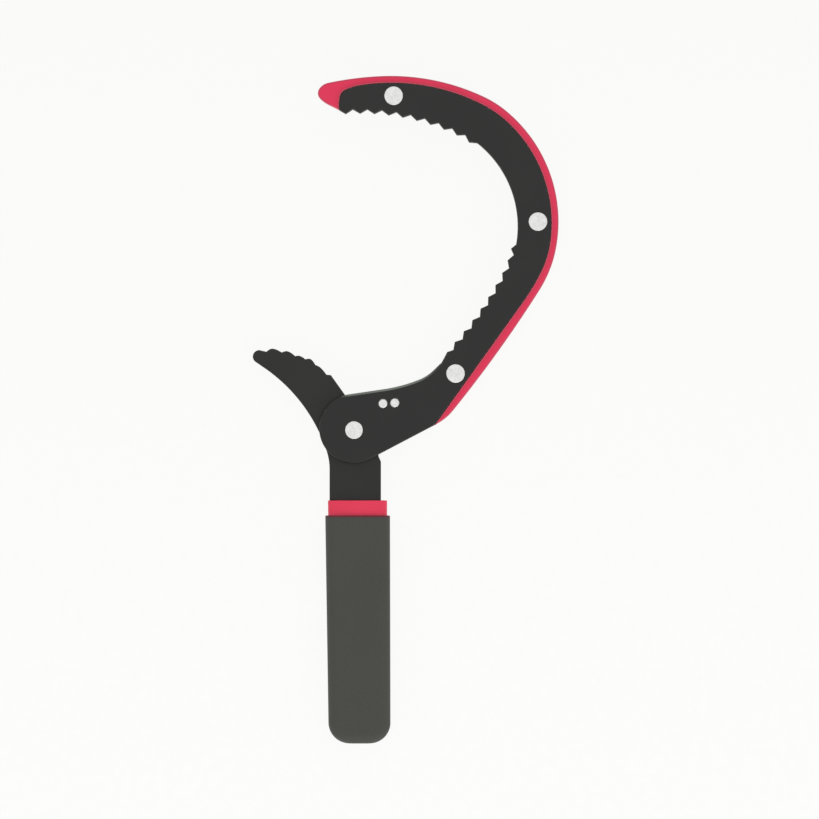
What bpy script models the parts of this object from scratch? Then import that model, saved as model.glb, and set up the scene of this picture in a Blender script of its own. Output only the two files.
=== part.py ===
"""Oil filter wrench: a toothed hook riveted from two plates and a core, and a lever whose jaw bites.

The tool lies on its back. X and Y are the plane of the plates, with +Y towards the hook's tip and
the handle along -Y, and Z is its thickness. Outlines are drawn about the pivot, where both the hook
and the lever have their origin. All sizes are in metres.
"""
from math import acos, ceil, cos, degrees, pi, radians, sin, sqrt

import bmesh
import bpy
from mathutils import Vector

# ---- Driving dimensions -------------------------------------------------------------------------

PIVOT = Vector((-0.0232, -0.00916, 0.0))    # the pivot, from the middle of the tool's outline
GAP = 0.0003                                # air between neighbours that touch on the real tool

PLATE = 0.0030                              # thickness of each hook plate
SPACE = 0.0060                              # room between the two plates
HEAD = 0.0010                               # height of a rivet head over its plate
WASHER = 0.0005                             # thickness of a pivot washer
CORE = SPACE - 2 * GAP
LEVER = SPACE - 2 * (WASHER + 2 * GAP)
TOTAL = SPACE + 2 * (PLATE + HEAD)          # the grip is as thick as the riveted hook
MIDDLE = TOTAL / 2                          # height of the plane that halves the tool
RIM = 0.0090                                # thickness of the core's rim, outside the plates

ARC_STEP = 0.0015                           # longest straight piece of an arc in an outline
ROUND_STEPS = 32                            # sides of a hole, pin or rivet
OVERCUT = 0.0060                            # how far a cutter reaches past the solid that it cuts

# The hook's plates, whose end is round about a point just above the pivot.
END_CENTRE = (-0.0001, 0.0007)
END_RADIUS = 0.01553
INNER_HEADING = 8.44                        # degrees, where the inner edge leaves the round end
INNER_RUN = 0.0161
INNER_ARCS = ((0.0698, 13.6), (0.01886, 21.3), (0.1668, 18.5), (0.04752, 93.6), (0.1033, 29.8))
BACK_HEADING = 27.71                        # degrees, where the lower edge leaves the round end
BACK_LOWER_RUN = 0.0313
BACK_CORNER = (0.005, 26.56)
BACK_RUN = 0.0670
BACK_ARCS = ((0.0984, 9.27), (0.0434, 18.31), (0.06176, 54.68), (0.05017, 16.56), (0.0900, 35.41))
TIP_CORNER = ((0.0282, 15.49), (0.0044, 61.1))  # the rounded corner at the plates' tip
TIP_RUN = 0.0034

# Teeth of the hook: distance of the first valley along the inner edge, pitch and number.
TOOTH_DEPTH = 0.0019
LOWER_TEETH = (0.0529, 0.00637, 8)
UPPER_TEETH = (0.1599, 0.00655, 10)
LEAD_TOOTH = (0.0025, 0.0014)               # half a tooth before the lower row: length and height
LAST_TOOTH = (0.0025, 0.0023)               # the short tooth after the lower row: its two sides

# The core, which shows as a thick rim outside the plates and as a nose past their tip. Its outer
# edge goes on from the plates' lower edge, past their corner.
RECESS = 0.0015                             # how far it stays behind the plates' other edges
RIM_RUN = 0.00266
RIM_ARCS = ((0.0234, 23.29), (0.5755, 6.65), (0.0535, 21.68), (0.0645, 61.66), (0.0474, 13.84),
            (0.0985, 27.87), (0.1470, 9.21))
NOSE_ARCS = ((0.00657, 42.66), (0.003522, 77.27), (0.01234, 22.1))
NOSE_UNDERSIDE = 0.0056

# Fasteners: places from the pivot, and radii.
RIVETS = {"tip": (0.0178, 0.1501), "middle": (0.0826, 0.0936), "lower": (0.0456, 0.0254)}
RIVET_HEAD = 0.0042
RIVET_SHANK = 0.0030
PINS = {"inner": (0.0130, 0.0119), "outer": (0.0183, 0.0122)}
PIN_RADIUS = 0.00195
PIN_PROUD = 0.00025                         # how far a pin stands out of the plates
PIN_DIMPLE = 0.0009
PIVOT_HEAD = 0.0040
PIVOT_NECK = 0.0031
PIVOT_SHOULDER = 0.0036
WASHER_RADIUS = 0.0080
EDGE = 0.0005                               # rounding of a rivet head or a pin end

# The lever: hub, neck, jaw and the tang inside the grip.
HUB_RADIUS = 0.0125
HUB_CLEARANCE = 0.0007
NECK_LEFT = -0.0110
NECK_RIGHT = 0.0121
NECK_SHOULDER = ((0.0121, -0.0142), (0.0110, -0.0117))
NECK_END = -0.0316
TANG_LEFT = -0.0081
TANG_RIGHT = 0.0114
TANG_END = -0.1290
TANG_CORNER = 0.0060
JAW_HEEL = (-0.0104, 0.0247)                # the end of the plain edge between the hub and the teeth
JAW_HEEL_HEADING = 125.5                    # degrees, the direction of that edge
# The jaw's teeth are not even: each valley, and the height of the tooth after it.
JAW_TEETH = (((-0.0124, 0.0249), 0.0006), ((-0.0174, 0.0293), 0.0012), ((-0.0218, 0.0318), 0.0007),
             ((-0.0264, 0.0332), 0.0012), ((-0.0325, 0.0349), 0.0015))
JAW_LAST_VALLEY = (-0.0394, 0.0352)
JAW_CREST = 0.62                            # where the crest of a tooth is, as a share of its pitch
JAW_NOSE = (-0.0426, 0.0330)                # centre of the round nose
JAW_NOSE_RADIUS = 0.0029
JAW_NOSE_ANGLES = (85.0, 235.5)
JAW_BACK_RUN = 0.0049
JAW_BACK_ARC = (0.0726, 37.7)
OPEN_LIMIT = 25.0                           # degrees that the lever swings open

# The grip: a liner over the tang, whose top shows as a collar, and the sleeve over it.
GRIP_AXIS = 0.00162                         # middle of the sleeve's top, right of the pivot
GRIP_LEAN = 0.0087                          # how fast the middle moves right towards the end
SLEEVE_TOP = -0.0384
SLEEVE_END = -0.14085
SLEEVE_HALF_WIDTHS = (0.01455, 0.01388)     # at the top and at the end
SLEEVE_CORNER = 0.0093                      # corner radius of the sleeve's end, seen from above
SLEEVE_EDGE = 0.0045                        # rounding along the sides
COLLAR_TOP = NECK_END - GAP
LINER_END = -0.1365
LINER_HALF_WIDTHS = (0.01330, 0.01260)
LINER_HALF_THICKNESS = 0.0056
LINER_EDGE = 0.0032
MOUTH_ROUNDING = 0.0008                     # rounding at the open end of the sleeve and liner
MOUTH_SHARES = (0.3, 1.0)                   # sections in that rounding, as shares of it
BODY_SHARES = (0.25, 0.5, 0.75)             # sections along the grip, as shares of its length
CORNER_STEPS = 9                            # sections in the rounding of the grip's end
LAST_SHARE = 0.0015                         # where the last one stops, as a share of the corner
EDGE_STEPS = 5                              # straight pieces in each rounded edge of a section
FULLEST_EDGE = 0.95                         # the most of a section's half size that rounding takes


# ---- Outlines -----------------------------------------------------------------------------------

class Trail:
    """A route of straight runs and left-hand arcs that join without a kink."""

    def __init__(self, start, heading):
        self.runs = []
        self.end = Vector(start)
        self.heading = radians(heading)
        self.length = 0.0

    def _add(self, length, radius):
        self.runs.append((self.length, self.end.copy(), self.heading, radius))
        self.length += length
        self.heading += length / radius if radius else 0.0
        self.end = self.point(self.length)

    def ahead(self, length):
        self._add(length, None)
        return self

    def left(self, radius, sweep):
        self._add(radius * radians(sweep), radius)
        return self

    def point(self, distance, side=0.0):
        """The point at a distance along the trail, moved to its left by side."""
        begin, start, heading, radius = [run for run in self.runs if run[0] <= distance][-1]
        ahead = distance - begin
        if radius is None:
            left = Vector((-sin(heading), cos(heading)))
            return start + Vector((cos(heading), sin(heading))) * ahead + left * side
        centre = start + Vector((-sin(heading), cos(heading))) * radius
        turned = heading + ahead / radius
        return centre + Vector((sin(turned), -cos(turned))) * (radius - side)

    def points(self, first, last, side=0.0):
        """Points between two distances: the ends of each straight run, and steps along each arc."""
        stops = [first]
        for index, (begin, _, _, radius) in enumerate(self.runs):
            end = self.runs[index + 1][0] if index + 1 < len(self.runs) else self.length
            low, high = max(begin, first), min(end, last)
            if high <= low:
                continue
            steps = max(1, ceil((high - low) / ARC_STEP)) if radius else 1
            stops += [low + (high - low) * step / steps for step in range(1, steps + 1)]
        return [self.point(stop, side) for stop in stops]


def arc(centre, radius, start, end):
    """Points of an arc between two angles in degrees, anticlockwise when end is the larger."""
    centre = Vector(centre)
    steps = max(2, ceil(abs(radians(end - start)) * radius / ARC_STEP))
    angles = [radians(start + (end - start) * step / steps) for step in range(steps + 1)]
    return [centre + Vector((cos(angle), sin(angle))) * radius for angle in angles]


def circle(centre, radius):
    angles = [2 * pi * step / ROUND_STEPS for step in range(ROUND_STEPS)]
    return [Vector(centre) + Vector((cos(angle), sin(angle))) * radius for angle in angles]


def direction(heading):
    return Vector((cos(radians(heading)), sin(radians(heading))))


def inner_edge():
    """The plates' inner edge, from the round end by the pivot to the tip, along the valleys."""
    start = Vector(END_CENTRE) + direction(INNER_HEADING + 90) * END_RADIUS
    trail = Trail(start, INNER_HEADING).ahead(INNER_RUN)
    for radius, sweep in INNER_ARCS:
        trail.left(radius, sweep)
    return trail


def back_edge():
    """The plates' outer edge: the lower edge, its corner, and the back up to the tip."""
    start = Vector(END_CENTRE) + direction(BACK_HEADING - 90) * END_RADIUS
    trail = Trail(start, BACK_HEADING)
    trail.ahead(BACK_LOWER_RUN).left(*BACK_CORNER).ahead(BACK_RUN)
    for radius, sweep in BACK_ARCS:
        trail.left(radius, sweep)
    return trail


def teeth(trail, first, pitch, count):
    """A row of pointed teeth: a valley on the trail, then a tip to its left."""
    points = []
    for tooth in range(count):
        points.append(trail.point(first + tooth * pitch))
        points.append(trail.point(first + (tooth + 0.5) * pitch, TOOTH_DEPTH))
    return points


def plate_outline(grow=0.0):
    """A plate's outline, or that of the pocket for its outer edge when it is grown."""
    inner, back = inner_edge(), back_edge()
    lower_end = LOWER_TEETH[0] + LOWER_TEETH[1] * LOWER_TEETH[2]
    lead = LOWER_TEETH[0] - LEAD_TOOTH[0]
    mouth = inner.points(0.0, lead - 2 * LEAD_TOOTH[0])
    mouth.append(inner.point(lead, LEAD_TOOTH[1]))
    mouth += teeth(inner, *LOWER_TEETH)
    mouth += [inner.point(lower_end), inner.point(lower_end + LAST_TOOTH[0], TOOTH_DEPTH)]
    mouth += inner.points(lower_end + sum(LAST_TOOTH), UPPER_TEETH[0])[:-1]
    mouth += teeth(inner, *UPPER_TEETH)
    mouth.append(inner.end)
    for radius, sweep in TIP_CORNER:
        back.left(radius, sweep)
    back.ahead(TIP_RUN)
    outer = back.points(0.0, back.length, -grow)
    round_end = arc(END_CENTRE, END_RADIUS, INNER_HEADING + 90, BACK_HEADING + 270)
    return outer + mouth[::-1] + round_end[1:-1]


def core_outline():
    inner, back = inner_edge(), back_edge()
    rim = Trail(back.point(BACK_LOWER_RUN), BACK_HEADING).ahead(RIM_RUN)
    for radius, sweep in RIM_ARCS + NOSE_ARCS:
        rim.left(radius, sweep)
    rim.ahead(NOSE_UNDERSIDE)
    inside = inner.points(INNER_RUN, inner.length - UPPER_TEETH[1], -RECESS)

    # Round the inner pin, and hollow to clear the lever's hub.
    pin = Vector(PINS["inner"])
    hollow = HUB_RADIUS + HUB_CLEARANCE
    boss = pin.length - hollow
    pin_angle = degrees(pin.angle(Vector((1, 0))))
    boss_side = arc(pin, boss, INNER_HEADING + 90, pin_angle + 180)

    # The face that the lever's neck stops against when it is fully open.
    stop_heading = OPEN_LIMIT - 90
    stop_distance = NECK_RIGHT + GAP
    stop_side = direction(stop_heading + 90) * stop_distance
    stop_top = stop_heading + 90 - degrees(acos(stop_distance / hollow))
    lower_side = direction(BACK_HEADING - 90)
    lower_edge = END_RADIUS + Vector(END_CENTRE).dot(lower_side)
    slope = direction(stop_heading).dot(lower_side)
    reach = (lower_edge - RECESS - stop_side.dot(lower_side)) / slope
    stop_foot = stop_side + direction(stop_heading) * reach
    hollow_side = arc((0, 0), hollow, pin_angle, stop_top)

    lower = [stop_foot, back.point(BACK_LOWER_RUN - RIM_RUN, RECESS)]
    outside = lower + rim.points(0.0, rim.length)
    return outside + inside[::-1] + boss_side + hollow_side[1:]


def jaw_tooth_height(share):
    """Height of a jaw tooth, as a share of its crest: a slow rounded rise and a quicker fall."""
    if share < JAW_CREST:
        return sin(share / JAW_CREST * pi / 2)
    return cos((share - JAW_CREST) / (1 - JAW_CREST) * pi / 2)


def jaw_outline():
    """The jaw from its heel, along its teeth, round its nose and back to the neck."""
    shares = (0.0, 0.2, 0.4, JAW_CREST, 0.75, 0.9)
    valleys = [Vector(valley) for valley, _ in JAW_TEETH] + [Vector(JAW_LAST_VALLEY)]
    points = [Vector(JAW_HEEL)]
    for valley, after, (_, crest) in zip(valleys, valleys[1:], JAW_TEETH):
        pitch = after - valley
        outward = Vector((pitch.y, -pitch.x)).normalized()
        for share in shares:
            points.append(valley + pitch * share + outward * crest * jaw_tooth_height(share))
    points.append(valleys[-1])
    points += arc(JAW_NOSE, JAW_NOSE_RADIUS, *JAW_NOSE_ANGLES)

    # The hollow back, whose second arc runs out on the neck's left side.
    heading = JAW_NOSE_ANGLES[1] + 90
    start = points[-1] + direction(heading) * JAW_BACK_RUN
    radius, sweep = JAW_BACK_ARC
    points += arc(start + direction(heading - 90) * radius, radius, heading + 90, heading + 90 - sweep)
    heading -= sweep
    start = points.pop()
    sweep = heading - 270
    radius = (NECK_LEFT - start.x) / (1 - cos(radians(sweep)))
    points += arc(start + direction(heading - 90) * radius, radius, heading + 90, 360)
    return points


def hub_outline():
    """The hub's free side, from the neck's shoulder to the root of the jaw."""
    neck_inset = NECK_SHOULDER[1][0]
    start = -degrees(acos(neck_inset / HUB_RADIUS))
    heel_side = JAW_HEEL_HEADING - 90
    heel_distance = Vector(JAW_HEEL).dot(direction(heel_side))
    end = heel_side + degrees(acos(heel_distance / HUB_RADIUS))
    return arc((0, 0), HUB_RADIUS, start, end)


def tang_outline(grow=0.0):
    """The tang below the neck, or the slot for it when it is grown."""
    left, right = TANG_LEFT - grow, TANG_RIGHT + grow
    low = TANG_END - grow
    radius = TANG_CORNER
    left_corner = arc((left + radius, low + radius), radius, 180, 270)
    right_corner = arc((right - radius, low + radius), radius, 270, 360)
    return left_corner + right_corner


def lever_outline():
    """The whole lever, anticlockwise from the neck's right side."""
    neck = [Vector((NECK_RIGHT, NECK_END))] + [Vector(corner) for corner in NECK_SHOULDER]
    tang = [Vector((NECK_LEFT, NECK_END)), Vector((TANG_LEFT, NECK_END))]
    tang += tang_outline() + [Vector((TANG_RIGHT, NECK_END))]
    return neck + hub_outline() + jaw_outline() + tang


# ---- Solids -------------------------------------------------------------------------------------

def clear_scene():
    for item in list(bpy.data.objects):
        bpy.data.objects.remove(item, do_unlink=True)


def new_collection(name):
    collection = bpy.data.collections.new(name)
    bpy.context.scene.collection.children.link(collection)
    return collection


def material(name, colour, roughness, metallic):
    surface = bpy.data.materials.new(name)
    surface.use_nodes = True
    shader = surface.node_tree.nodes["Principled BSDF"]
    shader.inputs["Base Color"].default_value = (*colour, 1.0)
    shader.inputs["Roughness"].default_value = roughness
    shader.inputs["Metallic"].default_value = metallic
    return surface


def place(item, parent, collection, surface=None):
    """Put an object in its collection, under the empty of its body, with its material."""
    collection.objects.link(item)
    item.parent = parent
    if surface:
        item.data.materials.append(surface)
    return item


def hide_cutter(item):
    item.hide_render = True
    item.display_type = "WIRE"


def flat_curve(name, outlines, thickness, height):
    """A flat piece: the first outline is its edge and the others are holes through it."""
    curve = bpy.data.curves.new(name, "CURVE")
    curve.dimensions = "2D"
    curve.fill_mode = "BOTH"
    curve.extrude = thickness / 2
    for outline in outlines:
        spline = curve.splines.new("POLY")
        spline.points.add(len(outline) - 1)
        spline.use_cyclic_u = True
        for point, corner in zip(spline.points, outline):
            point.co = (corner.x, corner.y, 0.0, 1.0)
    item = bpy.data.objects.new(name, curve)
    item.location.z = height
    return item


def turned(name, profile, centre, height):
    """A round piece: a profile of (radius, height) points, top to bottom, turned about Z."""
    mesh = bpy.data.meshes.new(name)
    edges = [(index, index + 1) for index in range(len(profile) - 1)]
    mesh.from_pydata([(radius, 0.0, level) for radius, level in profile], edges, [])
    item = bpy.data.objects.new(name, mesh)
    item.location = (*centre, height)
    screw = item.modifiers.new("turn", "SCREW")
    screw.axis = "Z"
    screw.steps = ROUND_STEPS
    screw.render_steps = ROUND_STEPS
    screw.use_merge_vertices = True
    screw.merge_threshold = 0.00001
    screw.use_smooth_shade = False
    return item


def rounded_rim(radius, level):
    """Three points that round the rim of a disc whose upper face is at level."""
    short = EDGE * (1 - sqrt(0.5))
    return [(radius - EDGE, level), (radius - short, level - short), (radius, level - EDGE)]


def headed_profile(head, neck, shoulder):
    """A rivet through the hook: equal heads, a neck in each plate and a shoulder between them."""
    top = MIDDLE
    under_head = SPACE / 2 + PLATE + GAP
    between = SPACE / 2 - GAP
    upper = [(0.0, top)] + rounded_rim(head, top)
    upper += [(head, under_head), (neck, under_head)]
    if shoulder > neck:
        upper += [(neck, between), (shoulder, between)]
    lower = [(radius, -level) for radius, level in reversed(upper)]
    return upper + lower


def pin_profile():
    """A plain pin with a shallow dimple in each end."""
    top = SPACE / 2 + PLATE + PIN_PROUD
    upper = [(0.0, top - PIN_PROUD), (PIN_DIMPLE, top)] + rounded_rim(PIN_RADIUS, top)
    lower = [(radius, -level) for radius, level in reversed(upper)]
    return upper + lower


def washer_profile():
    half = WASHER / 2
    bore = PIVOT_SHOULDER + GAP
    corners = [(bore, half), (WASHER_RADIUS, half), (WASHER_RADIUS, -half), (bore, -half)]
    return corners + corners[:1]


def section(half_width, half_thickness, edge):
    """A rounded rectangle in the XZ plane, as (x, z) points."""
    points = []
    for corner, (side, level) in enumerate(((1, 1), (-1, 1), (-1, -1), (1, -1))):
        for step in range(EDGE_STEPS + 1):
            angle = pi / 2 * (corner + step / EDGE_STEPS)
            x = side * (half_width - edge) + edge * cos(angle)
            z = level * (half_thickness - edge) + edge * sin(angle)
            points.append((x, z))
    return points


def round_in(distance, radius):
    """How far an outline has drawn in at a distance before the end of a corner of that radius."""
    if distance >= radius:
        return 0.0
    return radius - sqrt(radius ** 2 - (radius - distance) ** 2)


def grip_body(name, top, end, half_widths, half_thickness, edge, corner, mouth):
    """A tapering rounded bar along -Y, with round corners at its end and a rounded mouth."""
    length = top - end
    stations = [0.0]
    if mouth:
        stations += [mouth * share for share in MOUTH_SHARES]
    stations += [length * share for share in BODY_SHARES]
    turns = [pi / 2 * step / CORNER_STEPS for step in range(CORNER_STEPS)]
    stations += [length - corner * (1 - sin(turn)) for turn in turns]
    stations.append(length - corner * LAST_SHARE)
    mesh = bmesh.new()
    rings = []
    for station in stations:
        share = station / length
        width = half_widths[0] + (half_widths[1] - half_widths[0]) * share
        mouth_in = round_in(station, mouth) if mouth else 0.0
        width -= round_in(length - station, corner) + mouth_in
        thickness = half_thickness - round_in(length - station, edge) - mouth_in
        ring_edge = min(edge, thickness * FULLEST_EDGE, width * FULLEST_EDGE)
        points = section(width, thickness, ring_edge)
        y = top - station
        middle = GRIP_AXIS + GRIP_LEAN * (SLEEVE_TOP - y)
        rings.append([mesh.verts.new((middle + x, y, z)) for x, z in points])
    for first, second in zip(rings, rings[1:]):
        for index in range(len(first)):
            after = (index + 1) % len(first)
            mesh.faces.new((first[index], first[after], second[after], second[index]))
    mesh.faces.new(rings[0][::-1])
    mesh.faces.new(rings[-1])
    bmesh.ops.remove_doubles(mesh, verts=mesh.verts, dist=0.000001)
    bmesh.ops.recalc_face_normals(mesh, faces=mesh.faces)
    data = bpy.data.meshes.new(name)
    mesh.to_mesh(data)
    mesh.free()
    item = bpy.data.objects.new(name, data)
    item.location.z = MIDDLE
    return item


def curve_to_mesh(item, name, collection, surface=None):
    """The same solid as a closed mesh, so that it can cut another or be cut."""
    bpy.context.view_layer.update()
    depsgraph = bpy.context.evaluated_depsgraph_get()
    data = bpy.data.meshes.new_from_object(item.evaluated_get(depsgraph))
    welded = bmesh.new()
    welded.from_mesh(data)
    bmesh.ops.remove_doubles(welded, verts=welded.verts, dist=0.00001)
    welded.to_mesh(data)
    welded.free()
    data.materials.clear()
    solid = bpy.data.objects.new(name, data)
    solid.location = item.location
    place(solid, item.parent, collection, surface)
    bpy.data.objects.remove(item, do_unlink=True)
    return solid


def cut(item, cutter):
    boolean = item.modifiers.new("cut_" + cutter.name, "BOOLEAN")
    boolean.operation = "DIFFERENCE"
    boolean.solver = "EXACT"
    boolean.object = cutter


# ---- The wrench ---------------------------------------------------------------------------------

def make_core(body, parts, cutters, holes, red):
    """The core, whose rim is thicker than its middle, because each plate lies in a pocket of it."""
    blank = flat_curve("core_blank", [core_outline()] + holes, RIM, MIDDLE)
    place(blank, body, cutters)
    core = curve_to_mesh(blank, "hook_core", parts, red)
    pocket_outline = plate_outline(GAP)
    pocket_height = (CORE + OVERCUT) / 2
    for side, height in (("front", MIDDLE + pocket_height), ("back", MIDDLE - pocket_height)):
        pocket = flat_curve("pocket_outline_" + side, [pocket_outline], OVERCUT, height)
        place(pocket, body, cutters)
        pocket = curve_to_mesh(pocket, "plate_pocket_" + side, cutters)
        hide_cutter(pocket)
        cut(core, pocket)


def make_hook(body, parts, cutters, steel, red, bright):
    """Plates, core and fasteners, which move as one."""
    holes = [circle((0, 0), PIVOT_NECK + GAP)]
    holes += [circle(centre, RIVET_SHANK + GAP) for centre in RIVETS.values()]
    holes += [circle(centre, PIN_RADIUS + GAP) for centre in PINS.values()]
    outline = plate_outline()
    plate_height = SPACE / 2 + PLATE / 2
    for side, height in (("front", MIDDLE + plate_height), ("back", MIDDLE - plate_height)):
        name = "hook_" + side + "_plate"
        place(flat_curve(name, [outline] + holes, PLATE, height), body, parts, steel)
    make_core(body, parts, cutters, holes[1:], red)
    for name, centre in RIVETS.items():
        profile = headed_profile(RIVET_HEAD, RIVET_SHANK, RIVET_SHANK)
        place(turned("hook_rivet_" + name, profile, centre, MIDDLE), body, parts, bright)
    for name, centre in PINS.items():
        place(turned("core_pin_" + name, pin_profile(), centre, MIDDLE), body, parts, bright)
    profile = headed_profile(PIVOT_HEAD, PIVOT_NECK, PIVOT_SHOULDER)
    place(turned("pivot_pin", profile, (0, 0), MIDDLE), body, parts, bright)


def make_lever(body, parts, steel, bright):
    bore = circle((0, 0), PIVOT_SHOULDER + GAP)
    place(flat_curve("lever", [lever_outline(), bore], LEVER, MIDDLE), body, parts, steel)
    seat = LEVER / 2 + GAP + WASHER / 2
    for side, height in (("front", MIDDLE + seat), ("back", MIDDLE - seat)):
        washer = turned("pivot_washer_" + side, washer_profile(), (0, 0), height)
        place(washer, body, parts, bright)


def make_grip(body, parts, cutters, rubber, red):
    """The liner is slotted for the tang, and the sleeve is hollowed for the liner."""
    liner = grip_body("grip_liner", COLLAR_TOP, LINER_END, LINER_HALF_WIDTHS, LINER_HALF_THICKNESS,
                      LINER_EDGE, SLEEVE_CORNER, MOUTH_ROUNDING)
    place(liner, body, parts, red)
    slot_outline = tang_outline(GAP)
    slot_top = NECK_END + OVERCUT
    slot_outline += [Vector((TANG_RIGHT + GAP, slot_top)), Vector((TANG_LEFT - GAP, slot_top))]
    slot = flat_curve("slot_outline", [slot_outline], LEVER + 2 * GAP, MIDDLE)
    place(slot, body, cutters)
    slot = curve_to_mesh(slot, "tang_slot", cutters)
    hide_cutter(slot)
    cut(liner, slot)

    sleeve = grip_body("grip_sleeve", SLEEVE_TOP, SLEEVE_END, SLEEVE_HALF_WIDTHS, TOTAL / 2,
                       SLEEVE_EDGE, SLEEVE_CORNER, MOUTH_ROUNDING)
    place(sleeve, body, parts, rubber)
    widths = [width + GAP for width in LINER_HALF_WIDTHS]
    hollow = grip_body("liner_hollow", COLLAR_TOP + OVERCUT, LINER_END - GAP, widths,
                       LINER_HALF_THICKNESS + GAP, LINER_EDGE + GAP, SLEEVE_CORNER, 0.0)
    place(hollow, body, cutters)
    hide_cutter(hollow)
    cut(sleeve, hollow)


def body_empty(name, collection):
    empty = bpy.data.objects.new(name, None)
    empty.location = PIVOT
    empty.empty_display_size = END_RADIUS
    collection.objects.link(empty)
    return empty


def main():
    clear_scene()
    parts = new_collection("oil_filter_wrench")
    cutters = new_collection("cutters")
    coated_steel = material("coated_steel", (0.037, 0.037, 0.036), 0.45, 0.3)
    lever_steel = material("lever_steel", (0.038, 0.038, 0.037), 0.45, 0.3)
    red_core = material("red_core", (0.72, 0.055, 0.105), 0.42, 0.0)
    red_liner = material("red_liner", (0.73, 0.056, 0.107), 0.5, 0.0)
    bright_steel = material("bright_steel", (0.75, 0.75, 0.74), 0.3, 1.0)
    washer_steel = material("washer_steel", (0.55, 0.55, 0.55), 0.35, 1.0)
    dark_rubber = material("dark_rubber", (0.072, 0.072, 0.065), 0.6, 0.0)
    hook = body_empty("hook", parts)
    lever = body_empty("lever_axis", parts)
    make_hook(hook, parts, cutters, coated_steel, red_core, bright_steel)
    make_lever(lever, parts, lever_steel, washer_steel)
    make_grip(lever, parts, cutters, dark_rubber, red_liner)


main()
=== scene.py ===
"""Oil filter wrench: finished surfaces, floor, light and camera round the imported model.

The frame is in metres with +Y towards the hook's tip, the handle along -Y and Z through the
thickness. Flat pieces are rebuilt from the outlines of their CAD nodes with rounded edges, and round
ones from their boxes, so every size and place comes from the frame.
"""

from math import ceil, cos, pi, radians, sin, sqrt

import bmesh
import bpy
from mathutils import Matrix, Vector


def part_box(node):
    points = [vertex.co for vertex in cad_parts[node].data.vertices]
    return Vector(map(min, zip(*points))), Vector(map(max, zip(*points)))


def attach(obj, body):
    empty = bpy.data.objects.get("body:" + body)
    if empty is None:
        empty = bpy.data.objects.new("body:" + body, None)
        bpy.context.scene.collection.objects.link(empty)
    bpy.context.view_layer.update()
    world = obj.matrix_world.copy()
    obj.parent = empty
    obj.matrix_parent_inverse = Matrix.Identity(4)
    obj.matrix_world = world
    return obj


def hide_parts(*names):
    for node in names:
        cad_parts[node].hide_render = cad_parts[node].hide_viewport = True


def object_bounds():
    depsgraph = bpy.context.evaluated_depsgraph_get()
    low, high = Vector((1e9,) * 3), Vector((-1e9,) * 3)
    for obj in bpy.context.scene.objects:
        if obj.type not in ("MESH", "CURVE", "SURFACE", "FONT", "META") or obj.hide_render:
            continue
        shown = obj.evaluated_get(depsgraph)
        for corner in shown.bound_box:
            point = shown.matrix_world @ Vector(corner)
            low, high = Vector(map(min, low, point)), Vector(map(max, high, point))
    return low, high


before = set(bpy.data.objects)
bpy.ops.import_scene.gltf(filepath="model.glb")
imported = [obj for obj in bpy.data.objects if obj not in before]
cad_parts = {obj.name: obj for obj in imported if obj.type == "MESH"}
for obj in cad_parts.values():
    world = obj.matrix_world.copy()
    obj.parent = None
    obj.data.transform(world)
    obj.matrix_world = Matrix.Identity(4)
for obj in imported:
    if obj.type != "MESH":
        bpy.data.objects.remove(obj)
CAD_BOX = [list(corner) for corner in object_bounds()]

# ---- Sizes, in metres ---------------------------------------------------------------------------

WELD = 0.000001                 # corners closer than this are one
LEVEL_MATCH = 0.00002           # how near a face is to the height it is looked for at
UPWARD = 0.9                    # least Z of the normal of a face that looks up
CORNER = radians(26)            # a sharper turn in an outline is a corner, and stays one
LONG_RUN = 0.003                # a longer piece of an outline is a straight run, not part of an arc
FINE_TURN = radians(3)          # most that an outline turns between two points of an arc
MITRE_LIMIT = 2.5               # most that an inset corner moves, in insets
FOLD_LIMIT = 0.01               # keeps that move finite where an outline doubles back
SHARP = radians(38)             # a sharper fold is shaded as an edge
EDGE_TURNS = 5                  # steps in a rounded edge
AROUND = 72                     # sides of a turned piece

PLATE_EDGE = 0.00065            # rounding of the plates' outer edges
HOLE_EDGE = 0.00015             # rounding of the holes through them
HOLE_FIT = 0.00025              # how far the holes close in on their fasteners
SMALL_LOOP = 0.0045             # a loop whose points are all this near its middle is a hole
BEVEL = (0.0011, 0.0008)        # bevel of their edge beside the jaw: width and height
BEVEL_RISE = 0.3                # share of the bevel over which its painted highlight comes in
BEVEL_START = 0.0020            # how far ahead of the pivot the bevel starts
BEVEL_FADE = 0.004              # length over which it grows to its full width there
BEVEL_RUNOUT = 0.018            # length over which it runs out, up to the lower rivet
LEVER_EDGE = 0.00042            # rounding of the lever's edges

RIM_ROUND = (0.0009, 0.0017)    # rounding of the core's rim: width and height
RIM_SHARE = 0.42                # most of the rim's own width that its rounding takes
LIP_MATCH = 0.00020             # a point of the rim this near the web's edge is on the lip
LIP_ROUND = 0.00020             # rounding of the rim's lip beside a plate
LIP_REACH = 0.00025             # how far the lip closes in on the plate
LIP_FADE = 0.1                  # share of the distance to the lip's end that it may close in by
LIP_BAND = 0.00040              # width of the band along the lip that carries a painted highlight
LIP_PAINTED = 0.8               # share of that width within which a point gets the painted highlight
WEB_UNDER_RIM = 0.0011          # how far the web reaches into the rim, at most
WEB_AIR = 0.0003                # air between the web and a plate
FLASH = 0.00005                 # how far a moulding line stands out
FLASH_HALF = 0.00012            # half its thickness

HEAD_DOME = 0.00022             # fall of a rivet head from its middle to its rounded edge
HEAD_EDGE = 0.00038             # rounding of that edge, and of the pins' ends
HEAD_OVER_SHANK = 0.0011        # how much more a head's radius is than its shank's
DIMPLE = 0.00018                # depth of the dish in a pin's end
DOME_SHARES = (0.0, 0.25, 0.5, 0.75, 0.9, 1.0)      # rings of a dome, as shares of its radius
DISH_SHARES = (0.0, 0.3, 0.6, 0.85, 1.0)            # and of a dish

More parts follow.
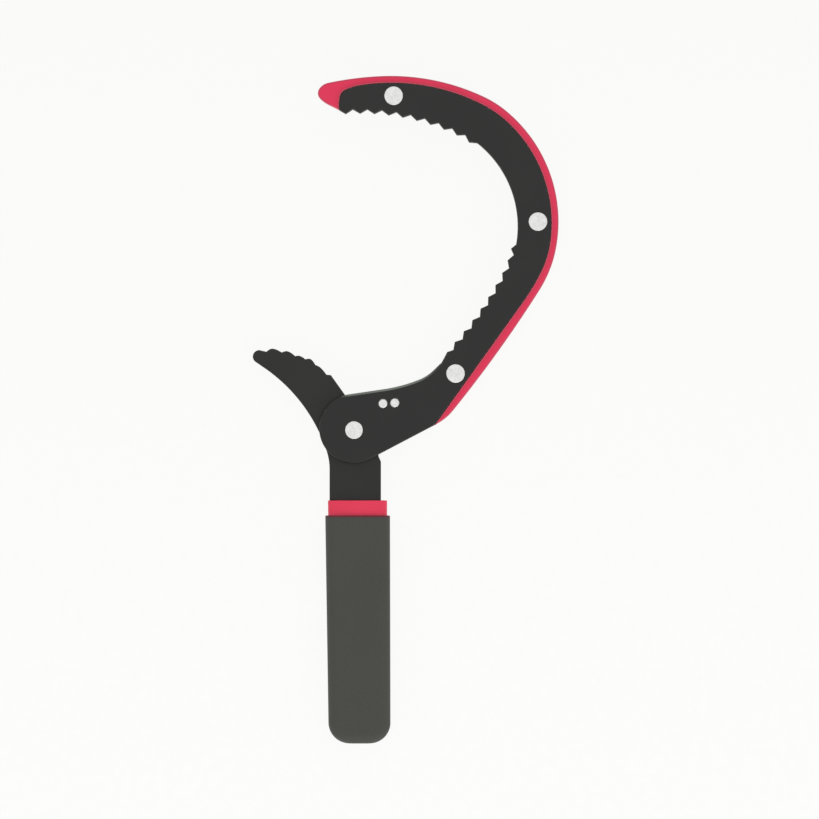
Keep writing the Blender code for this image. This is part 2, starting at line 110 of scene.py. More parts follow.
SLEEVE_EDGE = 0.0045            # rounding along the sleeve
SLEEVE_CORNER = 0.0093          # rounding of its closed end, seen from above
SLEEVE_MOUTH = 0.0004           # rounding of its mouth
MOUTH_SHADE_REACH = 0.0012            # how far the painted shade reaches from the mouth
MOUTH_DEPTH = 0.060             # depth of the opening
LINER_EDGE = 0.0032             # rounding along the liner
LINER_SLACK = 0.0003            # air between the liner and the sleeve
COLLAR_REACH = 0.0003           # how far the collar closes in on the lever's neck
COLLAR_EDGE = 0.0003            # rounding of the collar's top
SIDE_SHARES = (0.3, 0.7)        # where a grip piece's sides are measured, as shares of its length
CORNER_TURNS = 14               # steps in the rounding of the grip's end
END_SHARE = 0.0015              # where the first section is, as a share of that rounding
BODY_SHARES = (0.2, 0.4, 0.6, 0.8, 0.9)     # sections between the ends
MOUTH_STEP = 3                  # the mouth's rounding takes one of this many of those steps
FULLEST_EDGE = 0.95             # most of a section's half size that rounding takes
SECTION_TURNS = 10              # steps in each rounded corner of a section

CAMERA_HEIGHT = 5.0             # over the core's upper face
FRAME_WIDTH = 0.3678            # width that the picture shows, at that face
CAMERA_CENTRE = (0.00173, 0.00008)      # what it looks straight down on
FLOOR_HALF = 14.0               # half the floor's side
FLOOR_DROP = 0.0001             # keeps the floor from lying in the tool's lowest faces
FLOOR_FADE = 0.18               # half the length over which painted light makes the floor paler

# ---- Finishes. Colours are linear, and a pair is the darker and the paler end of one ------------

COAT = ((0.0060, 0.0060, 0.0060), (0.0085, 0.0085, 0.0083))
LEVER_COAT = ((0.0065, 0.0067, 0.0060), (0.0095, 0.0097, 0.0086))
WORN_COAT = (0.05, 0.05, 0.05)
# painted highlight on the plates' bevel, in pale steel grey
BEVEL_HIGHLIGHT = ((0.125, 0.140, 0.120), (0.160, 0.178, 0.152))
HEAD_STEEL = ((0.66, 0.66, 0.66), (0.81, 0.81, 0.80))
WASHER_STEEL = ((0.45, 0.45, 0.45), (0.60, 0.60, 0.59))
CORE_RED = ((0.66, 0.0195, 0.073), (0.70, 0.0225, 0.080))
LINER_RED = ((0.655, 0.0235, 0.070), (0.695, 0.0275, 0.077))
# painted shade darkening the core's rounded edges
EDGE_SHADE_RED = (0.320, 0.031, 0.070)
EDGE_SHADE = 0.55                    # most of that painted shade, on an edge
# painted highlight along the lip beside the plates
LIP_HIGHLIGHT_RED = (0.700, 0.120, 0.165)
RUBBER = ((0.0395, 0.0395, 0.0343), (0.0455, 0.0455, 0.0393))
RUBBER_DUST = (0.060, 0.060, 0.053)
# painted shade along the sleeve's mouth, in dark red
SHADED_MOUTH_RED = (0.085, 0.012, 0.020)
FLOOR_BACK = (0.026, 0.028, 0.028)
# paler floor colour at the front, painted light
FLOOR_FRONT = (0.068, 0.065, 0.066)
FLOOR_GRAIN = (0.034, 0.036, 0.033)
FLOOR_GLOW = (0.997, 1.0, 0.984)
GLOW_STRENGTH = 0.928
SKY = (1.0, 1.0, 0.99)
SKY_STRENGTH = 0.98
PEBBLE_BLUR = 0.6               # how softly the pebbles of a texture run into each other
MIX_COLOURS = (6, 7)            # the Mix node's sockets for two colours
MIX_RESULT = 2                  # and for the colour between them


# ---- Outlines -----------------------------------------------------------------------------------

def outlines(node, level):
    """The loops round a CAD node's upward faces at a height, each with the solid on its left."""
    mesh = bmesh.new()
    mesh.from_mesh(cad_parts[node].data)
    bmesh.ops.remove_doubles(mesh, verts=mesh.verts, dist=WELD)
    faces = [face for face in mesh.faces if face.normal.z > UPWARD
             and abs(face.calc_center_median().z - level) < LEVEL_MATCH]
    inside = {face.index for face in faces}
    after = {}
    for face in faces:
        for corner in face.loops:
            beyond = [other.index for other in corner.edge.link_faces if other is not face]
            if not inside.intersection(beyond):
                after[corner.vert] = corner.link_loop_next.vert
    loops = []
    while after:
        vertex = next(iter(after))
        loop = []
        while vertex in after:
            loop.append(vertex.co.xy.copy())
            vertex = after.pop(vertex)
        loops.append(loop)
    mesh.free()
    return loops


def middle_of_loop(loop):
    return sum(loop, Vector((0, 0))) / len(loop)


def is_hole(loop):
    middle = middle_of_loop(loop)
    return all((point - middle).length < SMALL_LOOP for point in loop)


def distance(point, points):
    """The distance from a point to the nearest of some others."""
    return min((point - other).length for other in points)


def clearance(point, runs):
    """The distance from a point to the nearest of some straight runs."""
    nearest = []
    for start, end in runs:
        along = end - start
        share = min(max((point - start).dot(along) / along.length_squared, 0.0), 1.0)
        nearest.append((point - start - along * share).length)
    return min(nearest)


def refined(loop):
    """The loop with its arcs made finer along a smooth curve, and its corners and straights kept."""
    count = len(loop)
    spans = [loop[(index + 1) % count] - loop[index] for index in range(count)]
    ahead = [span.normalized() for span in spans]

    def heading(index, own):
        """The outline's direction at a point, as the side numbered own sees it."""
        before, after = index - 1, index % count
        if ahead[before].angle(ahead[after]) > CORNER:
            return ahead[own]
        for side in (before, after):
            if spans[side].length > LONG_RUN:
                return ahead[side]
        return (ahead[before] + ahead[after]).normalized()

    points = []
    for index, start in enumerate(loop):
        end = loop[(index + 1) % count]
        first, last = heading(index, index), heading(index + 1, index)
        pieces = 1
        if spans[index].length < LONG_RUN:
            pieces = max(1, ceil(first.angle(last) / FINE_TURN))
        for piece in range(pieces):
            t = piece / pieces
            pull = spans[index].length * t * (1 - t)
            smooth = t * t * (3 - 2 * t)
            points.append(start.lerp(end, smooth) + pull * ((1 - t) * first - t * last))
    return points


def inward_moves(loop):
    """For each point of a loop, how it moves when the outline is inset by one."""
    count = len(loop)
    ahead = [(loop[(index + 1) % count] - loop[index]).normalized() for index in range(count)]
    lefts = [Vector((-side.y, side.x)) for side in ahead]
    moves = []
    for index in range(count):
        first, second = lefts[index - 1], lefts[index]
        middle = first + second
        move = middle / max(1 + first.dot(second), FOLD_LIMIT)
        if move.length > MITRE_LIMIT:
            move = move.normalized() * MITRE_LIMIT
        moves.append(move)
    return moves


# ---- Meshes -------------------------------------------------------------------------------------

def finish_mesh(mesh, name, surface):
    """An object of a bmesh: closed, facing outwards, smooth but for its folds."""
    bmesh.ops.recalc_face_normals(mesh, faces=mesh.faces)
    for face in mesh.faces:
        face.smooth = True
    data = bpy.data.meshes.new(name)
    mesh.to_mesh(data)
    mesh.free()
    data.set_sharp_from_angle(angle=SHARP)
    data.materials.append(surface)
    piece = bpy.data.objects.new(name, data)
    bpy.context.scene.collection.objects.link(piece)
    normals = piece.modifiers.new("flat faces shade flat", "WEIGHTED_NORMAL")
    normals.keep_sharp = True
    return piece


def rounded_side(low, high, width, height):
    """Rings from the lower face to the upper: (inset, height, how far round an edge it is)."""
    turns = [pi / 2 * step / EDGE_TURNS for step in range(EDGE_TURNS + 1)]
    rings = [(width * (1 - sin(turn)), height * (1 - cos(turn)), sin(2 * turn)) for turn in turns]
    upward = [(inset, low + rise, edge) for inset, rise, edge in rings]
    return upward + [(inset, high - rise, edge) for inset, rise, edge in rings[::-1]]


def shifted(rings, inset):
    """The rings, each inset by that much more."""
    return [(own + inset, height, edge) for own, height, edge in rings]


def slab(name, loops, rings, surface):
    """A flat closed piece. rings(point) gives the rings of the wall through a point of a loop."""
    mesh = bmesh.new()
    edge_layer = mesh.verts.layers.float.new("edge")
    rims = []
    for loop in loops:
        columns = []
        for point, move in zip(loop, inward_moves(loop)):
            column = []
            for inset, height, edge in rings(point):
                vertex = mesh.verts.new((*(point + move * inset), height))
                vertex[edge_layer] = edge
                column.append(vertex)
            columns.append(column)
        for column, beside in zip(columns, columns[1:] + columns[:1]):
            for step in range(len(column) - 1):
                mesh.faces.new((column[step], beside[step], beside[step + 1], column[step + 1]))
        rims.append(columns)
    for end in (0, -1):
        edges = []
        for columns in rims:
            for column, beside in zip(columns, columns[1:] + columns[:1]):
                edges.append(mesh.edges.get((column[end], beside[end])))
        bmesh.ops.triangle_fill(mesh, use_beauty=True, use_dissolve=False, edges=edges)
    return finish_mesh(mesh, name, surface)


def paint(piece, name, share):
    """Store a number at each point of a piece, for its material to read."""
    layer = piece.data.attributes.new(name, "FLOAT", "POINT")
    for vertex, value in zip(piece.data.vertices, layer.data):
        value.value = share(vertex.co)


def turned(name, profile, centre, surface):
    """A round closed piece: (radius, height) points, from one pole to the other, turned about Z."""
    mesh = bmesh.new()
    rings = []
    for radius, height in profile:
        count = AROUND if radius > WELD else 1
        ring = []
        for step in range(count):
            angle = 2 * pi * step / AROUND
            at = (centre.x + radius * cos(angle), centre.y + radius * sin(angle), height)
            ring.append(mesh.verts.new(at))
        rings.append(ring)
    for upper, lower in zip(rings, rings[1:]):
        for step in range(AROUND):
            after = (step + 1) % AROUND
            if len(upper) == 1:
                mesh.faces.new((upper[0], lower[step], lower[after]))
            elif len(lower) == 1:
                mesh.faces.new((upper[step], lower[0], upper[after]))
            else:
                mesh.faces.new((upper[step], lower[step], lower[after], upper[after]))
    return finish_mesh(mesh, name, surface)


def lofted(name, sections, surface):
    """A closed piece through sections that all have the same number of points."""
    mesh = bmesh.new()
    rings = [[mesh.verts.new(point) for point in section] for section in sections]
    for first, second in zip(rings, rings[1:]):
        for index in range(len(first)):
            after = (index + 1) % len(first)
            mesh.faces.new((first[index], first[after], second[after], second[index]))
    mesh.faces.new(rings[0][::-1])
    mesh.faces.new(rings[-1])
    return finish_mesh(mesh, name, surface)


def put(piece, body, slot, *nodes):
    """Piece rides on a body and stands for CAD nodes. The slot is not used."""
    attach(piece, body)
    if nodes:
        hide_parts(*nodes)


# ---- Materials ----------------------------------------------------------------------------------

class Finish:
    """A procedural material, whose patterns lie in the piece's own space and move with it."""

    def __init__(self, name, metallic, specular):
        self.material = bpy.data.materials.new(name)
        self.material.use_nodes = True
        self.tree = self.material.node_tree
        self.shader = self.tree.nodes["Principled BSDF"]
        self.shader.inputs["Metallic"].default_value = metallic
        self.shader.inputs["Specular IOR Level"].default_value = specular
        self.space = self.add("ShaderNodeTexCoord").outputs["Object"]
        self.relief = None

    def add(self, kind, **settings):
        node = self.tree.nodes.new(kind)
        for name, value in settings.items():
            setattr(node, name, value)
        return node

    def join(self, source, node, socket):
        self.tree.links.new(source, node.inputs[socket])

    def noise(self, size, detail=3.0, stretch=(1.0, 1.0, 1.0)):
        """Cloudy noise of that size, from 0 to 1. stretch below 1 draws it out along an axis."""
        mapping = self.add("ShaderNodeMapping")
        mapping.inputs["Scale"].default_value = stretch
        self.join(self.space, mapping, "Vector")
        texture = self.add("ShaderNodeTexNoise")
        texture.inputs["Scale"].default_value = 1 / size
        texture.inputs["Detail"].default_value = detail
        self.join(mapping.outputs["Vector"], texture, "Vector")
        return texture.outputs["Fac"]

    def cells(self, size):
        """Rounded pebbles of that size: 0 at the middle of each and 1 between them."""
        texture = self.add("ShaderNodeTexVoronoi", feature="SMOOTH_F1")
        texture.inputs["Scale"].default_value = 1 / size
        texture.inputs["Smoothness"].default_value = PEBBLE_BLUR
        self.join(self.space, texture, "Vector")
        return texture.outputs["Distance"]

    def ranged(self, value, low, high, source=(0.3, 0.7)):
        """value, with the stretch source of it spread from low to high."""
        node = self.add("ShaderNodeMapRange")
        node.inputs["From Min"].default_value = source[0]
        node.inputs["From Max"].default_value = source[1]
        node.inputs["To Min"].default_value = low
        node.inputs["To Max"].default_value = high
        self.join(value, node, "Value")
        return node.outputs["Result"]

    def maths(self, operation, first, second):
        node = self.add("ShaderNodeMath", operation=operation)
        self.join(first, node, 0)
        self.join(second, node, 1)
        return node.outputs["Value"]

    def blend(self, share, first, second):
        """A colour between two, each a tuple or another node's output."""
        node = self.add("ShaderNodeMix", data_type="RGBA")
        self.join(share, node, "Factor")
        for socket, colour in zip(MIX_COLOURS, (first, second)):
            if isinstance(colour, tuple):
                node.inputs[socket].default_value = (*colour, 1.0)
            else:
                self.join(colour, node, socket)
        return node.outputs[MIX_RESULT]

    def painted(self, name):
        """The number that a piece stores at each of its points."""
        return self.add("ShaderNodeAttribute", attribute_name=name).outputs["Fac"]

    def walls(self):
        """1 on walls that stand on edge and 0 on flat faces."""
        normal = self.add("ShaderNodeTexCoord").outputs["Normal"]
        parts = self.add("ShaderNodeSeparateXYZ")
        self.join(normal, parts, "Vector")
        size = self.add("ShaderNodeMath", operation="ABSOLUTE")
        self.join(parts.outputs["Z"], size, 0)
        return self.ranged(size.outputs["Value"], 1.0, 0.0, source=(0.15, 0.5))

    def colour(self, source):
        self.join(source, self.shader, "Base Color")

    def roughness(self, source):
        self.join(source, self.shader, "Roughness")

    def bump(self, height, depth):
        """Relief of that depth in metres, on top of the relief so far."""
        node = self.add("ShaderNodeBump")
        node.inputs["Distance"].default_value = depth
        self.join(height, node, "Height")
        if self.relief:
            self.join(self.relief, node, "Normal")
        self.relief = node.outputs["Normal"]
        self.join(self.relief, self.shader, "Normal")


def coated_steel(name, shades):
    """Black coating with a fine orange peel, sheared walls, a little wear along its edges and a
    painted highlight on the bevel beside the jaw.
    """
    finish = Finish(name, metallic=0.0, specular=0.36)
    cloud = finish.noise(size=0.021, detail=4.0)
    grain = finish.noise(size=0.00035, detail=2.0)
    body = finish.blend(finish.ranged(cloud, 0.0, 1.0), *shades)
    chips = finish.ranged(finish.noise(size=0.0011, detail=5.0), 0.0, 1.0, source=(0.57, 0.70))
    wear = finish.maths("MULTIPLY", finish.painted("edge"), chips)
    coat = finish.blend(wear, body, WORN_COAT)
    bevel_highlight_colour = finish.blend(finish.noise(size=0.0008, detail=4.0), *BEVEL_HIGHLIGHT)
    # Painted highlight: the bevel beside the jaw turns pale steel grey.
    finish.colour(finish.blend(finish.painted("bevel_highlight"), coat, bevel_highlight_colour))
    finish.roughness(finish.ranged(cloud, 0.30, 0.37))
    finish.bump(grain, depth=0.000012)
    finish.bump(finish.noise(size=0.0013, detail=2.0), depth=0.000016)
    shear = finish.noise(size=0.00040, stretch=(1.0, 1.0, 0.06))
    finish.bump(finish.maths("MULTIPLY", finish.walls(), shear), depth=0.00006)
    return finish.material


def red_plastic(name, shades, texture):
    """Moulded red plastic: fine texture, flow marks, painted shade darkening its rounded edges and a
    painted highlight along the lip.
    """
    finish = Finish(name, metallic=0.0, specular=0.36)
    flow = finish.noise(size=0.014, stretch=(1.0, 0.5, 1.0))
    body = finish.blend(finish.ranged(flow, 0.0, 1.0), *shades)
    # Painted shade: the core's rounded edges turn darker red.
    edge_shade = finish.ranged(finish.painted("edge"), 0.0, EDGE_SHADE, source=(0.0, 1.0))
    edge_shaded = finish.blend(edge_shade, body, EDGE_SHADE_RED)
    # Painted highlight: a paler red along the lip beside the plates.
    finish.colour(finish.blend(finish.painted("lip"), edge_shaded, LIP_HIGHLIGHT_RED))
    finish.roughness(finish.ranged(finish.noise(size=0.0030), 0.40, 0.52))
    finish.bump(finish.noise(size=0.00028, detail=2.0), depth=texture)
    finish.bump(finish.noise(size=0.0060, detail=2.0), depth=0.00003)
    return finish.material


def dark_rubber():
    """Matt grey-black rubber, pebbled and dusty, with painted shade in dark red along its mouth."""
    finish = Finish("dark_rubber", metallic=0.0, specular=0.40)
    bloom = finish.noise(size=0.026, detail=5.0, stretch=(1.0, 0.6, 1.0))
    speck = finish.noise(size=0.0009)
    body = finish.blend(finish.ranged(bloom, 0.0, 1.0), *RUBBER)
    dust = finish.ranged(speck, 0.0, 0.30, source=(0.55, 0.75))
    dusty = finish.blend(dust, body, RUBBER_DUST)
    # Painted shade: the sleeve's mouth turns dark red.
    finish.colour(finish.blend(finish.painted("mouth"), dusty, SHADED_MOUTH_RED))
    finish.roughness(finish.ranged(bloom, 0.58, 0.68))
    finish.bump(finish.cells(size=0.00055), depth=0.00005)
    finish.bump(finish.noise(size=0.00016, detail=2.0), depth=0.000012)
    return finish.material


def bright_steel(name, shades, rough):
    """Plated steel, cloudy and softly hammered, as a pressed rivet head is."""
    finish = Finish(name, metallic=1.0, specular=0.5)
    cloud = finish.noise(size=0.0012, detail=4.0)
    finish.colour(finish.blend(finish.ranged(cloud, 0.0, 1.0), *shades))
    finish.roughness(finish.ranged(finish.noise(size=0.0007), *rough))
    finish.bump(finish.cells(size=0.0010), depth=0.00003)
    finish.bump(finish.noise(size=0.00022), depth=0.000008)
    return finish.material


def pale_floor():
    """A pale light table, which fills most of the tool's shadow, with painted light making it a
    little paler at the front.
    """
    finish = Finish("pale_floor", metallic=0.0, specular=0.0)
    grain = finish.noise(size=0.004)
    place = finish.add("ShaderNodeSeparateXYZ")
    finish.join(finish.space, place, "Vector")
    # Painted light: the floor's colour is paler towards the front.
    near = finish.ranged(place.outputs["Y"], 1.0, 0.0, source=(-FLOOR_FADE, FLOOR_FADE))
    painted_light = finish.blend(near, FLOOR_BACK, FLOOR_FRONT)
    finish.colour(finish.blend(grain, painted_light, FLOOR_GRAIN))
    finish.roughness(finish.ranged(grain, 0.8, 0.9))
    finish.shader.inputs["Emission Color"].default_value = (*FLOOR_GLOW, 1.0)
    finish.shader.inputs["Emission Strength"].default_value = GLOW_STRENGTH
    return finish.material


# ---- The hook -----------------------------------------------------------------------------------

def middle_of(node):
    low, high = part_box(node)
    return (low + high) / 2


def bevel_share(point, pivot, end):
    """How much of the bevel a point of the plates' edge has: all of it between pivot and end."""
    along = (end - pivot).normalized()
    out = point - pivot
    ahead = out.dot(along)
    if along.x * out.y < along.y * out.x:
        return 0.0
    start = min(max((ahead - BEVEL_START) / BEVEL_FADE, 0.0), 1.0)
    stop = min(max(((end - pivot).length - ahead) / BEVEL_RUNOUT, 0.0), 1.0)
    return min(start, stop)


def make_plate(side, surface):
    """A plate of the hook, with rounded edges and the holes for its fasteners."""
    node = "hook_" + side + "_plate"
    low, high = (corner.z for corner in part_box(node))
    outer = high if side == "front" else low
    pivot, lower_rivet = middle_of("pivot_pin").xy, middle_of("hook_rivet_lower").xy
    loops = [refined(loop) for loop in outlines(node, high)]
    centres = [middle_of_loop(loop) for loop in loops if is_hole(loop)]
    narrow = shifted(rounded_side(low, high, HOLE_EDGE, HOLE_EDGE), -HOLE_FIT)

    def rings(point):
        if distance(point, centres) < SMALL_LOOP:
            return narrow
        share = bevel_share(point, pivot, lower_rivet)
        width, height = (PLATE_EDGE + share * (size - PLATE_EDGE) for size in BEVEL)
        return rounded_side(low, high, width, height)

    def bevel_highlight_share(point):
        """How much painted highlight a point has: all of it on the bevel, and none on the plate's
        flat face.
        """
        left = 1 - min(abs(point.z - outer) / BEVEL[1], 1.0)
        around = sqrt(1 - left ** 2)
        share = bevel_share(point.xy, pivot, lower_rivet)
        return share * min(around / BEVEL_RISE, 1.0)

    piece = slab("plate_" + side, loops, rings, surface)
    # Store where the bevel carries its painted highlight.
    paint(piece, "bevel_highlight", bevel_highlight_share)
    put(piece, "hook", "coated_steel", node)


def make_core(surface):
    """The red core: its rim, thick and rounded, and the web between the plates."""
    low, high = (corner.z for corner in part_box("hook_core"))
    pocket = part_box("hook_front_plate")[0].z - WEB_AIR
    middle = (low + high) / 2
    rim = refined(outlines("hook_core", high)[0])
    web = [refined(loop) for loop in outlines("hook_core", pocket)]
    web_edge = max(web, key=len)

    lip = [point for point in rim if distance(point, web_edge) < LIP_MATCH]
    outside = [point for point in rim if distance(point, web_edge) >= LIP_MATCH]
    back = [run for run in zip(rim, rim[1:] + rim[:1]) if run[0] in outside or run[1] in outside]
    lip_ends = [point for run in back for point in run if point in lip]

    def lip_rings(point):
        """The wall beside the plates, with a band on each face and as many rings as the back."""
        room = RIM_SHARE * distance(point, outside)
        size, band = min(LIP_ROUND, room), min(LIP_BAND, room)
        reach = min(LIP_REACH, LIP_FADE * distance(point, lip_ends))
        rings = shifted(rounded_side(low, high, size, size), -reach)
        half = len(rings) // 2
        inset, bottom, _ = rings[half - 1]
        rise = rings[half][1] - bottom
        filler = [(inset, bottom + rise * share, 0.0) for share in (1 / 3, 2 / 3)]
        wall = rings[:half] + filler + rings[half:]
        return [(band, low, 0.0)] + wall + [(band, high, 0.0)]

    def back_rings(point):
        """The rounded wall outside, with a moulding line along its middle."""
        room = RIM_SHARE * distance(point, lip)
        width, height = min(RIM_ROUND[0], room), min(RIM_ROUND[1], 2 * room)
        rings = shifted(rounded_side(low, high, width, height), FLASH)
        half = len(rings) // 2
        line = [(FLASH, middle - 2 * FLASH_HALF, 0.0), (0.0, middle - FLASH_HALF, 0.0),
                (0.0, middle + FLASH_HALF, 0.0), (FLASH, middle + 2 * FLASH_HALF, 0.0)]
        return rings[:half] + line + rings[half:]

    def rim_rings(point):
        on_lip = distance(point, web_edge) < LIP_MATCH
        return lip_rings(point) if on_lip else back_rings(point)

    def web_rings(point):
        under = distance(point, lip) < LIP_MATCH
        reach = min(WEB_UNDER_RIM, RIM_SHARE * clearance(point, back)) if under else 0.0
        return [(-reach, 2 * middle - pocket, 0.0), (-reach, pocket, 0.0)]

    piece = slab("core_rim", [rim], rim_rings, surface)
    # Points along the lip carry the painted highlight.
    painted = LIP_BAND * LIP_PAINTED
    paint(piece, "lip", lambda point: float(distance(point.xy, lip) < painted))
    put(piece, "hook", "red_core", "hook_core")
    put(slab("core_web", web, web_rings, surface), "hook", "red_core")


def rounded_rim(flat, height):
    """Points of a quarter round that falls away outside a radius, from a height."""
    turns = [pi / 2 * step / EDGE_TURNS for step in range(1, EDGE_TURNS + 1)]
    return [(flat + HEAD_EDGE * sin(turn), height - HEAD_EDGE * (1 - cos(turn))) for turn in turns]


def head_profile(radius, top, seat):
    """Half of a rivet: its shallow dome, its rounded edge, its seat on the plate and its shank."""
    flat = radius - HEAD_EDGE
    dome = [(flat * share, top - HEAD_DOME * share ** 3) for share in DOME_SHARES]
    edge = rounded_rim(flat, top - HEAD_DOME)
    return dome + edge + [(radius, seat), (radius - HEAD_OVER_SHANK, seat)]


def pin_profile(radius, top, _seat):
    """Half of a pin: its dished end and its rounded edge. It has no head, so no seat."""
    flat = radius - HEAD_EDGE
    dish = [(flat * share, top - DIMPLE * (1 - share ** 2)) for share in DISH_SHARES]
    return dish + rounded_rim(flat, top)


def mirrored(half, middle):
    """A profile and its mirror image below the middle height."""
    return half + [(radius, 2 * middle - height) for radius, height in reversed(half)]


def make_fasteners(surface):
    """Rivets, pivot and pins: bright ends on both faces of the hook."""
    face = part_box("hook_front_plate")[1].z
    fasteners = {
        "hook_rivet_tip": ("rivet_tip", head_profile),
        "hook_rivet_middle": ("rivet_middle", head_profile),
        "hook_rivet_lower": ("rivet_lower", head_profile),
        "pivot_pin": ("rivet_pivot", head_profile),
        "core_pin_inner": ("pin_inner", pin_profile),
        "core_pin_outer": ("pin_outer", pin_profile),
    }
    for node, (name, profile) in fasteners.items():
        low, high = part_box(node)
        half = profile((high.x - low.x) / 2, high.z, face)
        piece = turned(name, mirrored(half, (low.z + high.z) / 2), (low + high) / 2, surface)
        put(piece, "hook", "bright_steel", node)


# ---- The lever ----------------------------------------------------------------------------------

def make_lever(surface):
    """The pressed lever, in one piece from its toothed jaw to the tang in the grip."""
    low, high = (corner.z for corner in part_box("lever"))
    rings = rounded_side(low, high, LEVER_EDGE, LEVER_EDGE)
    loops = [refined(loop) for loop in outlines("lever", high)]
    piece = slab("lever_jaw", loops, lambda point: rings, surface)
    put(piece, "lever", "lever_steel", "lever")


def finish_washers(surface):
    """The washers keep their CAD shape, and get a plated finish."""
    for side in ("front", "back"):
        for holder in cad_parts["pivot_washer_" + side].material_slots:
            holder.material = surface


def sides(node, y):
    """Where the left and right sides of a CAD node are at a distance along the tool."""
    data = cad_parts[node].data
    crossings = []
    for edge in data.edges:
        first, second = (data.vertices[index].co for index in edge.vertices)
        if (first.y - y) * (second.y - y) < 0:
            crossings.append(first.lerp(second, (y - first.y) / (second.y - first.y)).x)
    return min(crossings), max(crossings)


def straight_sides(node):
    """A function that gives the middle and half the width of a grip piece at any y."""
    low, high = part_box(node)
    first, last = (low.y + (high.y - low.y) * share for share in SIDE_SHARES)
    starts, ends = sides(node, first), sides(node, last)

    def at(y):
        share = (y - first) / (last - first)
        left, right = (start + (end - start) * share for start, end in zip(starts, ends))
        return (left + right) / 2, (right - left) / 2

    return at


def section(middle, y, level, half_width, half_thickness, edge):
    """A rounded rectangle across the grip, with a fine moulding line along each side."""
    points = []
    for side in (-1, 1):
        arc = []
        for step in range(SECTION_TURNS + 1):
            angle = pi / 2 * step / SECTION_TURNS
            x = half_width - edge + edge * cos(angle)
            arc.append((x, half_thickness - edge + edge * sin(angle)))
        line = [(half_width, 2 * FLASH_HALF), (half_width + FLASH, FLASH_HALF)]
        upper = [(side * x, -side * z) for x, z in arc[::-1] + line]
        points += upper + [(x, -z) for x, z in upper[::-1]]
    return [Vector((middle + x, y, level + z)) for x, z in points]


def drawn_in(left, radius):
    """How far an outline has drawn in, with that much left to the end of a corner's radius."""
    if left >= radius:
        return 0.0
    return radius - sqrt(max(radius ** 2 - (radius - left) ** 2, 0.0))


def grip_sections(node, top, edge, mouth):
    """Sections of a tapering bar, from its closed end to a height, where mouth rounds its edge."""
    low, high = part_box(node)
    at = straight_sides(node)
    level = (low.z + high.z) / 2
    length = top - low.y
    turns = [pi / 2 * step / CORNER_TURNS for step in range(CORNER_TURNS + 1)]
    stops = [SLEEVE_CORNER * max(1 - cos(turn), END_SHARE) for turn in turns]
    stops += [length * share for share in BODY_SHARES] + [length - MOUTH_SHADE_REACH]
    stops += [length - mouth * (1 - sin(turn)) for turn in turns[::MOUTH_STEP]]
    sections = []
    for stop in stops:
        rounding = drawn_in(length - stop, mouth)
        middle, half_width = at(low.y + stop)
        half_width -= FLASH + drawn_in(stop, SLEEVE_CORNER) + rounding
        half_thickness = (high.z - low.z) / 2 - drawn_in(stop, edge) - rounding
        corner = min(edge, half_thickness * FULLEST_EDGE, half_width * FULLEST_EDGE)
        sections.append(section(middle, low.y + stop, level, half_width, half_thickness, corner))
    return sections


def make_grip(rubber, red):
    """The rubber sleeve, open at the top, and the red liner that shows above it as a collar."""
    liner_low, liner_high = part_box("grip_liner")
    collar = grip_sections("grip_liner", liner_high.y + COLLAR_REACH, LINER_EDGE, COLLAR_EDGE)
    put(lofted("grip_collar", collar, red), "lever", "red_liner", "grip_liner")

    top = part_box("grip_sleeve")[1].y
    outside = grip_sections("grip_sleeve", top, SLEEVE_EDGE, SLEEVE_MOUTH)
    at = straight_sides("grip_liner")
    level = (liner_low.z + liner_high.z) / 2
    thickness = (liner_high.z - liner_low.z) / 2 + LINER_SLACK
    inside = []
    for depth in (0.0, MOUTH_DEPTH / 2, MOUTH_DEPTH):
        middle, half_width = at(top - depth)
        width, edge = half_width + LINER_SLACK, LINER_EDGE + LINER_SLACK
        inside.append(section(middle, top - depth, level, width, thickness, edge))
    sleeve = lofted("grip_cover", outside + inside, rubber)
    # Painted shade along the mouth: none below its reach, all of it at the mouth's rounding.
    shade_start, fade = top - MOUTH_SHADE_REACH, MOUTH_SHADE_REACH - SLEEVE_MOUTH
    paint(sleeve, "mouth", lambda point: min(max((point.y - shade_start) / fade, 0.0), 1.0))
    put(sleeve, "lever", "dark_rubber", "grip_sleeve")


# ---- Floor, light and camera --------------------------------------------------------------------

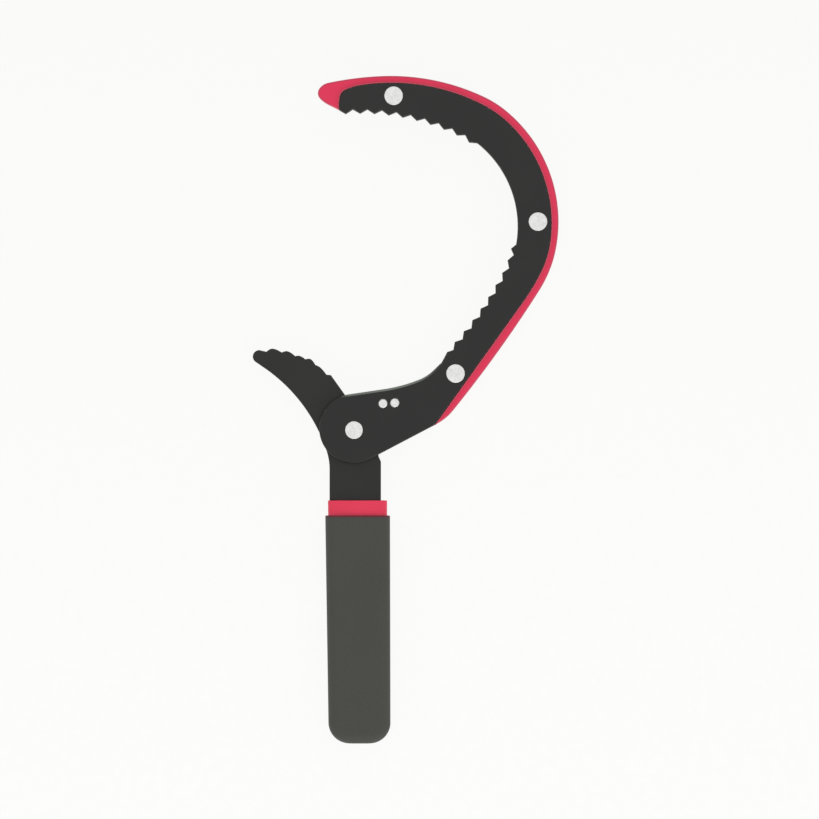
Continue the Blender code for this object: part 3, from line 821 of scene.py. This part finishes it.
def make_floor():
    """One large square just under the tool."""
    mesh = bmesh.new()
    corners = [(-1, -1), (1, -1), (1, 1), (-1, 1)]
    height = CAD_BOX[0][2] - FLOOR_DROP
    mesh.faces.new([mesh.verts.new((x * FLOOR_HALF, y * FLOOR_HALF, height)) for x, y in corners])
    data = bpy.data.meshes.new("floor")
    mesh.to_mesh(data)
    mesh.free()
    data.materials.append(pale_floor())
    floor = bpy.data.objects.new("floor", data)
    bpy.context.scene.collection.objects.link(floor)


def softbox(name, at, size, power):
    """A large soft lamp that looks at the tool."""
    data = bpy.data.lights.new(name, "AREA")
    data.shape = "RECTANGLE"
    data.size, data.size_y = size
    data.energy = power
    lamp = bpy.data.objects.new(name, data)
    lamp.location = at
    lamp.rotation_mode = "QUATERNION"
    lamp.rotation_quaternion = (-Vector(at)).to_track_quat("-Z", "Y")
    lamp.visible_camera = False
    bpy.context.scene.collection.objects.link(lamp)


def make_light():
    """An even pale surround, with soft lamps above and low down beside the handle."""
    world = bpy.data.worlds.new("studio")
    world.use_nodes = True
    sky = world.node_tree.nodes["Background"]
    sky.inputs["Color"].default_value = (*SKY, 1.0)
    sky.inputs["Strength"].default_value = SKY_STRENGTH
    bpy.context.scene.world = world
    softbox("overhead", at=(0.0, 0.5, 3.4), size=(3.0, 3.0), power=2.0)
    softbox("low_edge", at=(0.5, -1.45, 0.9), size=(2.0, 0.9), power=7.0)
    bpy.context.scene.view_settings.view_transform = "Standard"


def make_camera():
    """A camera that looks straight down from far off, framed on the core's upper face."""
    data = bpy.data.cameras.new("camera")
    data.lens = data.sensor_width * CAMERA_HEIGHT / FRAME_WIDTH
    camera = bpy.data.objects.new("camera", data)
    camera.location = (*CAMERA_CENTRE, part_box("hook_core")[1].z + CAMERA_HEIGHT)
    bpy.context.scene.collection.objects.link(camera)
    bpy.context.scene.camera = camera


def main():
    bright = bright_steel("bright_steel", HEAD_STEEL, rough=(0.30, 0.44))
    washer = bright_steel("washer_steel", WASHER_STEEL, rough=(0.24, 0.38))
    black = coated_steel("coated_steel", COAT)
    lever_black = coated_steel("lever_steel", LEVER_COAT)
    red = red_plastic("red_core", CORE_RED, texture=0.000010)
    liner_red = red_plastic("red_liner", LINER_RED, texture=0.000018)
    make_plate("front", black)
    make_plate("back", black)
    make_core(red)
    make_fasteners(bright)
    make_lever(lever_black)
    finish_washers(washer)
    make_grip(dark_rubber(), liner_red)
    make_floor()
    make_light()
    make_camera()


main()
